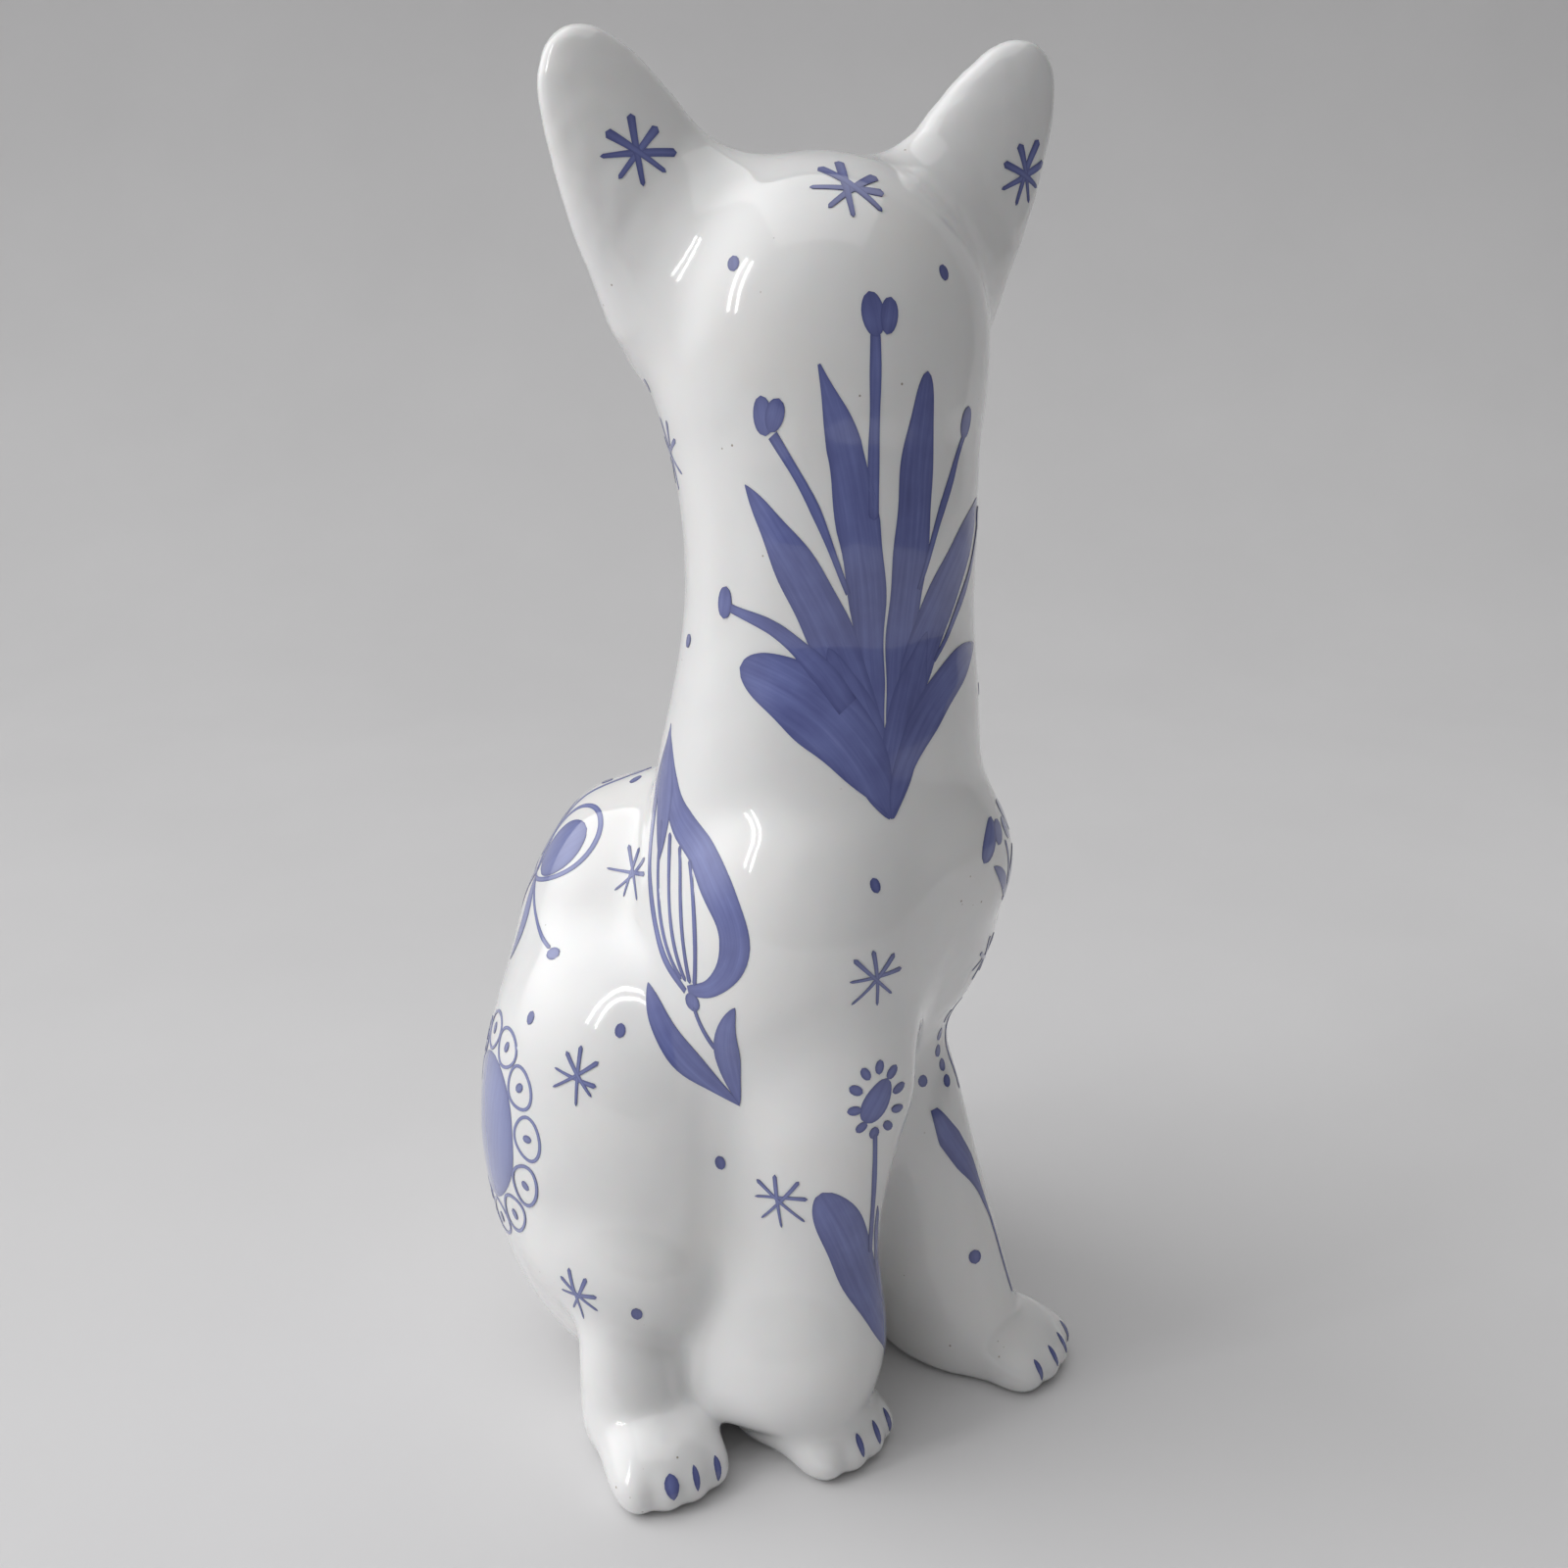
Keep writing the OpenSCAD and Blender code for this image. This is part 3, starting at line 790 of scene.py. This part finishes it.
# ---- the flowers on the front legs ----
leg = Painting("paint_leg_right").on(Canvas(-42, 88, axis=(-24, -38)))
leg.dot((4.2, 12.5), 6.2, 11.5, turn=-28)
for k in range(10):
    a = math.radians(36 * k + 12)
    leg.dot((4.4 + 5.6 * math.cos(a), 12.5 + 8.2 * math.sin(a)), 2.3, 3.4, turn=36 * k - 78)
leg.line((4, 4), (4.5, -32), 1.1, bow=0.5)
leg.on(Canvas(-38, 52, axis=(-24, -36), wrap=True))
leg.leaf((11, -28), (-7, 24), 12, bow=-1.5, widest=0.72, root_shape=0.9, tip_shape=0.45)
leg.leaf((11, -24), (8, 17), 4, bow=-1.5)
leg.finish()

leg = Painting("paint_leg_left").on(Canvas(18, 62, axis=(20, -35)))
for k in range(5):
    leg.dot((-2.4 + 0.5 * math.sin(2 * k), 21 + 4.4 * k), 2.2, 3.4, turn=8 * k - 20)
leg.line((3, 16), (1, 42), 0.9, bow=-1)
leg.brush(curve((-8, 16), (-6.5, 6), (-3.5, -7), (-1.7, -19.5)), widths(1.2, 5.6, 5.2, 2.4, 0.7))
leg.line((-1.7, -19), (-2, -42), 0.9)
leg.on(Canvas(-32, 36, axis=(21, -42)))
leg.dot((0, 0), 3.4, 3.8)
leg.finish()

# ---- stars and dots scattered over the skin ----
stars = Painting("paint_stars")
for azimuth, height, size in ((-136, 242, 14), (-113, 139, 13), (-92, 97, 13), (-86, 42, 12), (-25, 131, 13),
                              (120, 150, 13), (92, 100, 13), (84, 44, 12), (64, 128, 12), (180, 100, 13),
                              (150, 66, 12), (-150, 60, 12), (110, 226, 13), (20, 118, 12)):
    stars.on(Canvas(azimuth, height), tone=0.4).star(1.15 * size, turn=rng.uniform(0, 45), weight=0.9)
stars.on(Canvas(-80, 72, axis=(-28, -28)), tone=0.3).star(14.5, turn=10)
stars.on(Canvas(-32, 308, axis=from_head(43, -8)), tone=0.1).star(16.5, turn=5, weight=1.5)
stars.on(Canvas(-32, 304, axis=from_head(-52, -8)), tone=0.1).star(15, turn=20, weight=1.4)
stars.on(Canvas(-40, 281, elevation=50), tone=0.1).star(18, turn=0, weight=1.7)
stars.finish()

dots = Painting("paint_dots")
for azimuth, height in ((-95, 285), (0, 283), (-148, 257), (30, 186), (-27, 152), (-112, 105), (-84, 109),
                        (-72, 41), (-54, 79), (-169, 151), (-160, 155), (112, 108), (84, 112), (72, 42),
                        (60, 90), (170, 146), (160, 40), (-165, 84), (100, 206), (136, 186), (166, 240),
                        (76, 240), (-120, 200), (48, 172), (-8, 100), (12, 84)):
    dots.on(Canvas(azimuth, height)).dot((0, 0), 2.7, 3.6, turn=rng.uniform(-30, 30))
dots.finish()

# ---- marks on the chest tuft, claws, ears, tail and face ----
chest = Painting("paint_chest").on(Canvas(14, 150, level=True), tone=0.15)
chest.leaf((-12, 0), (-4, 9), 5, widest=0.5, root_shape=0.5, tip_shape=0.5)
chest.dot((-3, 5), 4.4, 6.4, turn=-35)
chest.dot((3.4, 4), 4.4, 6.4, turn=30)
chest.leaf((12, 1), (4, 10), 5, widest=0.5, root_shape=0.5, tip_shape=0.5)
chest.line((0, 2), (1, -14), 1.1, bow=1)
chest.leaf((1, -13), (-8, -2), 3.4, bow=-1)
chest.leaf((1, -13), (9, -2), 3.4, bow=1)
chest.finish()

claws = Painting("paint_claws")
CLAWED_TOES = ((0, 1, 2, 3), (1, 2, 3), (0, 1, 2, 3), (1, 2, 3))
for ((paw_x, paw_y), turned), toes in zip(PAWS, CLAWED_TOES):
    for k in toes:
        ahead, beside = heading(turned), heading(turned + 90)
        toe = np.array([paw_x, paw_y, 0]) + TOE_REACH * ahead + TOE_PITCH * (k - (TOES - 1) / 2) * beside
        broad = 3.4 if k == min(toes) and turned < -20 else 1.8     # one claw of the right hind foot
        claws.on(Canvas(turned, 5, axis=toe[:2], elevation=32)).leaf(
            (0.2, 3.0), (-0.2, -3.0), broad, root_shape=0.6, tip_shape=0.6)
claws.finish()

ears = Painting("paint_ears")
for across, lean in ((45, -26), (-45, 26)):
    ears.on(Canvas(148, 306, axis=from_head(across, -12), tilt=lean, level=True), tone=0.2)
    ears.leaf((0, -12), (0, 18), 5.5, bow=0.6)
    ears.leaf((-1, -12), (-6, 8), 3.2, bow=1.0)
    ears.leaf((1, -12), (6, 8), 3.2, bow=-1.0)
ears.finish()

TAIL_SPOTS = ((20, 68), (44, 62), (63, 49), (75, 32))
tail = Painting("paint_tail")
for k, (tail_x, tail_y) in enumerate(TAIL_SPOTS):
    out = math.degrees(math.atan2(tail_x, -(tail_y - SPINE_Y[0])))
    tail.on(Canvas(out, 10, axis=(tail_x, tail_y), elevation=35))
    tail.leaf((-6, -3), (6, 4), 3.4, bow=0.8)
    tail.dot((-1, 5.5), 2.4, 3)
tail.finish()

face_paint = Painting("paint_face").on(Canvas(148, 277, axis=NECK_AXIS[:2], level=True))
for side in (-1, 1):
    face_paint.leaf((side * 6.5, -2.5), (side * 25, 1.5), 2.2, bow=side * 5.2, widest=0.5, tip_shape=0.7)
    face_paint.line((side * 7.5, -2.5), (side * 23.5, 0.5), 0.9, bow=side * -4.2)
    face_paint.dot((side * 15.6, 0.2), 5.6, 8.0)
    face_paint.leaf((side * 7, 10), (side * 20, 13.5), 1.8, bow=side * 1.8)
    face_paint.line((0, -16), (side * 8.5, -19.5), 1.0, bow=side * -2.6)
    for row in range(3):
        face_paint.dot((side * (5.5 + 2.2 * row), -14.5 + 1.0 * row), 1.0)
        face_paint.dot((side * (6.5 + 2.2 * row), -18 + 0.8 * row), 1.0)
        face_paint.line((side * 15, -14 - 2.6 * row), (side * 29, -9 - 5.0 * row), 0.7, bow=side * 0.8)
face_paint.dot((0, -9.4), 8.0, 4.4)
face_paint.leaf((0, -9), (0, -13.4), 4.5, widest=0.3, root_shape=0.5)
face_paint.line((0, -12), (0, -16.4), 1.0)
face_paint.leaf((0, 14), (0, 27), 3.6)
face_paint.leaf((0, 14), (-7, 23), 3.0, bow=0.8)
face_paint.leaf((0, 14), (7, 23), 3.0, bow=-0.8)
face_paint.dot((0, 12), 2.6)
face_paint.finish()


# ---- studio ----
def plain_material(name, colour, roughness):
    """A plain surface that varies only a little in tone."""
    shader = Shader(name)
    position = shader.add("ShaderNodeNewGeometry").outputs["Position"]
    low = tuple(0.97 * c for c in colour)
    tone = shader.ramp(shader.noise(position, 6), (0.35, low), (0.65, colour))
    shader.link(tone, shader.base.inputs["Base Color"])
    shader.constants(Roughness=roughness)
    return shader.material


def sweep(name, material, width=3.2, front=1.6, back=1.1, radius=0.5, rise=2.4):
    """A floor that curves up into a wall behind the figurine, drawn about the camera's view direction."""
    profile = [(-front, 0.0), (back - radius, 0.0)]
    profile += [
        (back - radius + radius * math.sin(a), radius - radius * math.cos(a))
        for a in np.linspace(0, math.pi / 2, 24)[1:]]
    profile.append((back, rise))
    mesh = bpy.data.meshes.new(name)
    corners = [(side * width / 2, along, up) for along, up in profile for side in (-1, 1)]
    faces = [(2 * i, 2 * i + 1, 2 * i + 3, 2 * i + 2) for i in range(len(profile) - 1)]
    mesh.from_pydata(corners, [], faces)
    mesh.polygons.foreach_set("use_smooth", np.ones(len(mesh.polygons), bool))
    mesh.materials.append(material)
    obj = bpy.data.objects.new(name, mesh)
    obj.rotation_euler = (0, 0, math.radians(VIEW_AZIMUTH))
    bpy.context.scene.collection.objects.link(obj)


def from_target(azimuth, distance, up):
    """A point that far from the figurine, at an angle measured from the front of the cat's body."""
    a = math.radians(azimuth)
    return np.array([math.sin(a) * distance, -math.cos(a) * distance, up])


def aim(obj, spot):
    """Turns a camera or lamp to look at a spot."""
    way = np.array(spot) - np.array(obj.location)
    flat = math.hypot(way[0], way[1])
    obj.rotation_euler = (math.atan2(flat, -way[2]), 0, math.atan2(way[1], way[0]) - math.pi / 2)


def soft_light(name, azimuth, distance, up, width, tall, watts, spot=(0, 0, 0.16)):
    """A rectangular lamp, placed like a camera and aimed at a spot on the figurine."""
    lamp = bpy.data.lights.new(name, "AREA")
    lamp.shape = "RECTANGLE"
    lamp.size = width
    lamp.size_y = tall
    lamp.energy = watts
    obj = bpy.data.objects.new(name, lamp)
    obj.location = from_target(azimuth, distance, up)
    bpy.context.scene.collection.objects.link(obj)
    aim(obj, spot)


VIEW_AZIMUTH = -52.0
camera = bpy.data.cameras.new("camera")
camera.lens_unit = "FOV"
camera.angle = math.radians(50)
viewer = bpy.data.objects.new("camera", camera)
viewer.location = from_target(VIEW_AZIMUTH, 398 * MM, 295 * MM)
bpy.context.scene.collection.objects.link(viewer)
aim(viewer, (0, 0, 160 * MM))
bpy.context.scene.camera = viewer

sweep("floor", plain_material("pale_floor", (0.73, 0.725, 0.73), 0.6))
soft_light("overhead", VIEW_AZIMUTH, 0.01, 2.2, 2.0, 2.0, 9, spot=(0, 0, 0))
soft_light("glint_near", VIEW_AZIMUTH - 60, 1.5, 1.1, 0.05, 0.8, 1.5)
soft_light("glint_far", VIEW_AZIMUTH - 66, 1.5, 1.1, 0.06, 0.8, 1.9)


def daylight(name, azimuth, elevation, stops, strength):
    """A world that is brightest towards one side, as beside a window wall, and fades smoothly round."""
    room = bpy.data.worlds.new(name)
    room.use_nodes = True
    tree = room.node_tree
    way = tree.nodes.new("ShaderNodeTexCoord")
    towards = tree.nodes.new("ShaderNodeVectorMath")
    towards.operation = "DOT_PRODUCT"
    towards.inputs[1].default_value = tuple(heading(azimuth, elevation))
    tree.links.new(way.outputs["Generated"], towards.inputs[0])
    share = tree.nodes.new("ShaderNodeMapRange")
    share.inputs["From Min"].default_value = -1
    tree.links.new(towards.outputs["Value"], share.inputs["Value"])
    fade = tree.nodes.new("ShaderNodeValToRGB")
    fade.color_ramp.interpolation = "EASE"
    while len(fade.color_ramp.elements) < len(stops):
        fade.color_ramp.elements.new(0.5)
    for element, (position, grey) in zip(fade.color_ramp.elements, stops):
        element.position = position
        element.color = (grey, grey, grey, 1)
    tree.links.new(share.outputs["Result"], fade.inputs["Fac"])
    tree.links.new(fade.outputs["Color"], tree.nodes["Background"].inputs["Color"])
    tree.nodes["Background"].inputs["Strength"].default_value = strength
    return room


WINDOW_SIDE = VIEW_AZIMUTH - 104   # the daylight comes from the viewer's left, a little from behind the cat
WINDOW_UP = 36
FADE = ((0.0, 0.07), (0.62, 0.07), (0.84, 0.3), (1.0, 1.0))
bpy.context.scene.world = daylight("studio", WINDOW_SIDE, WINDOW_UP, FADE, 2.2)
bpy.context.scene.view_settings.view_transform = "Standard"
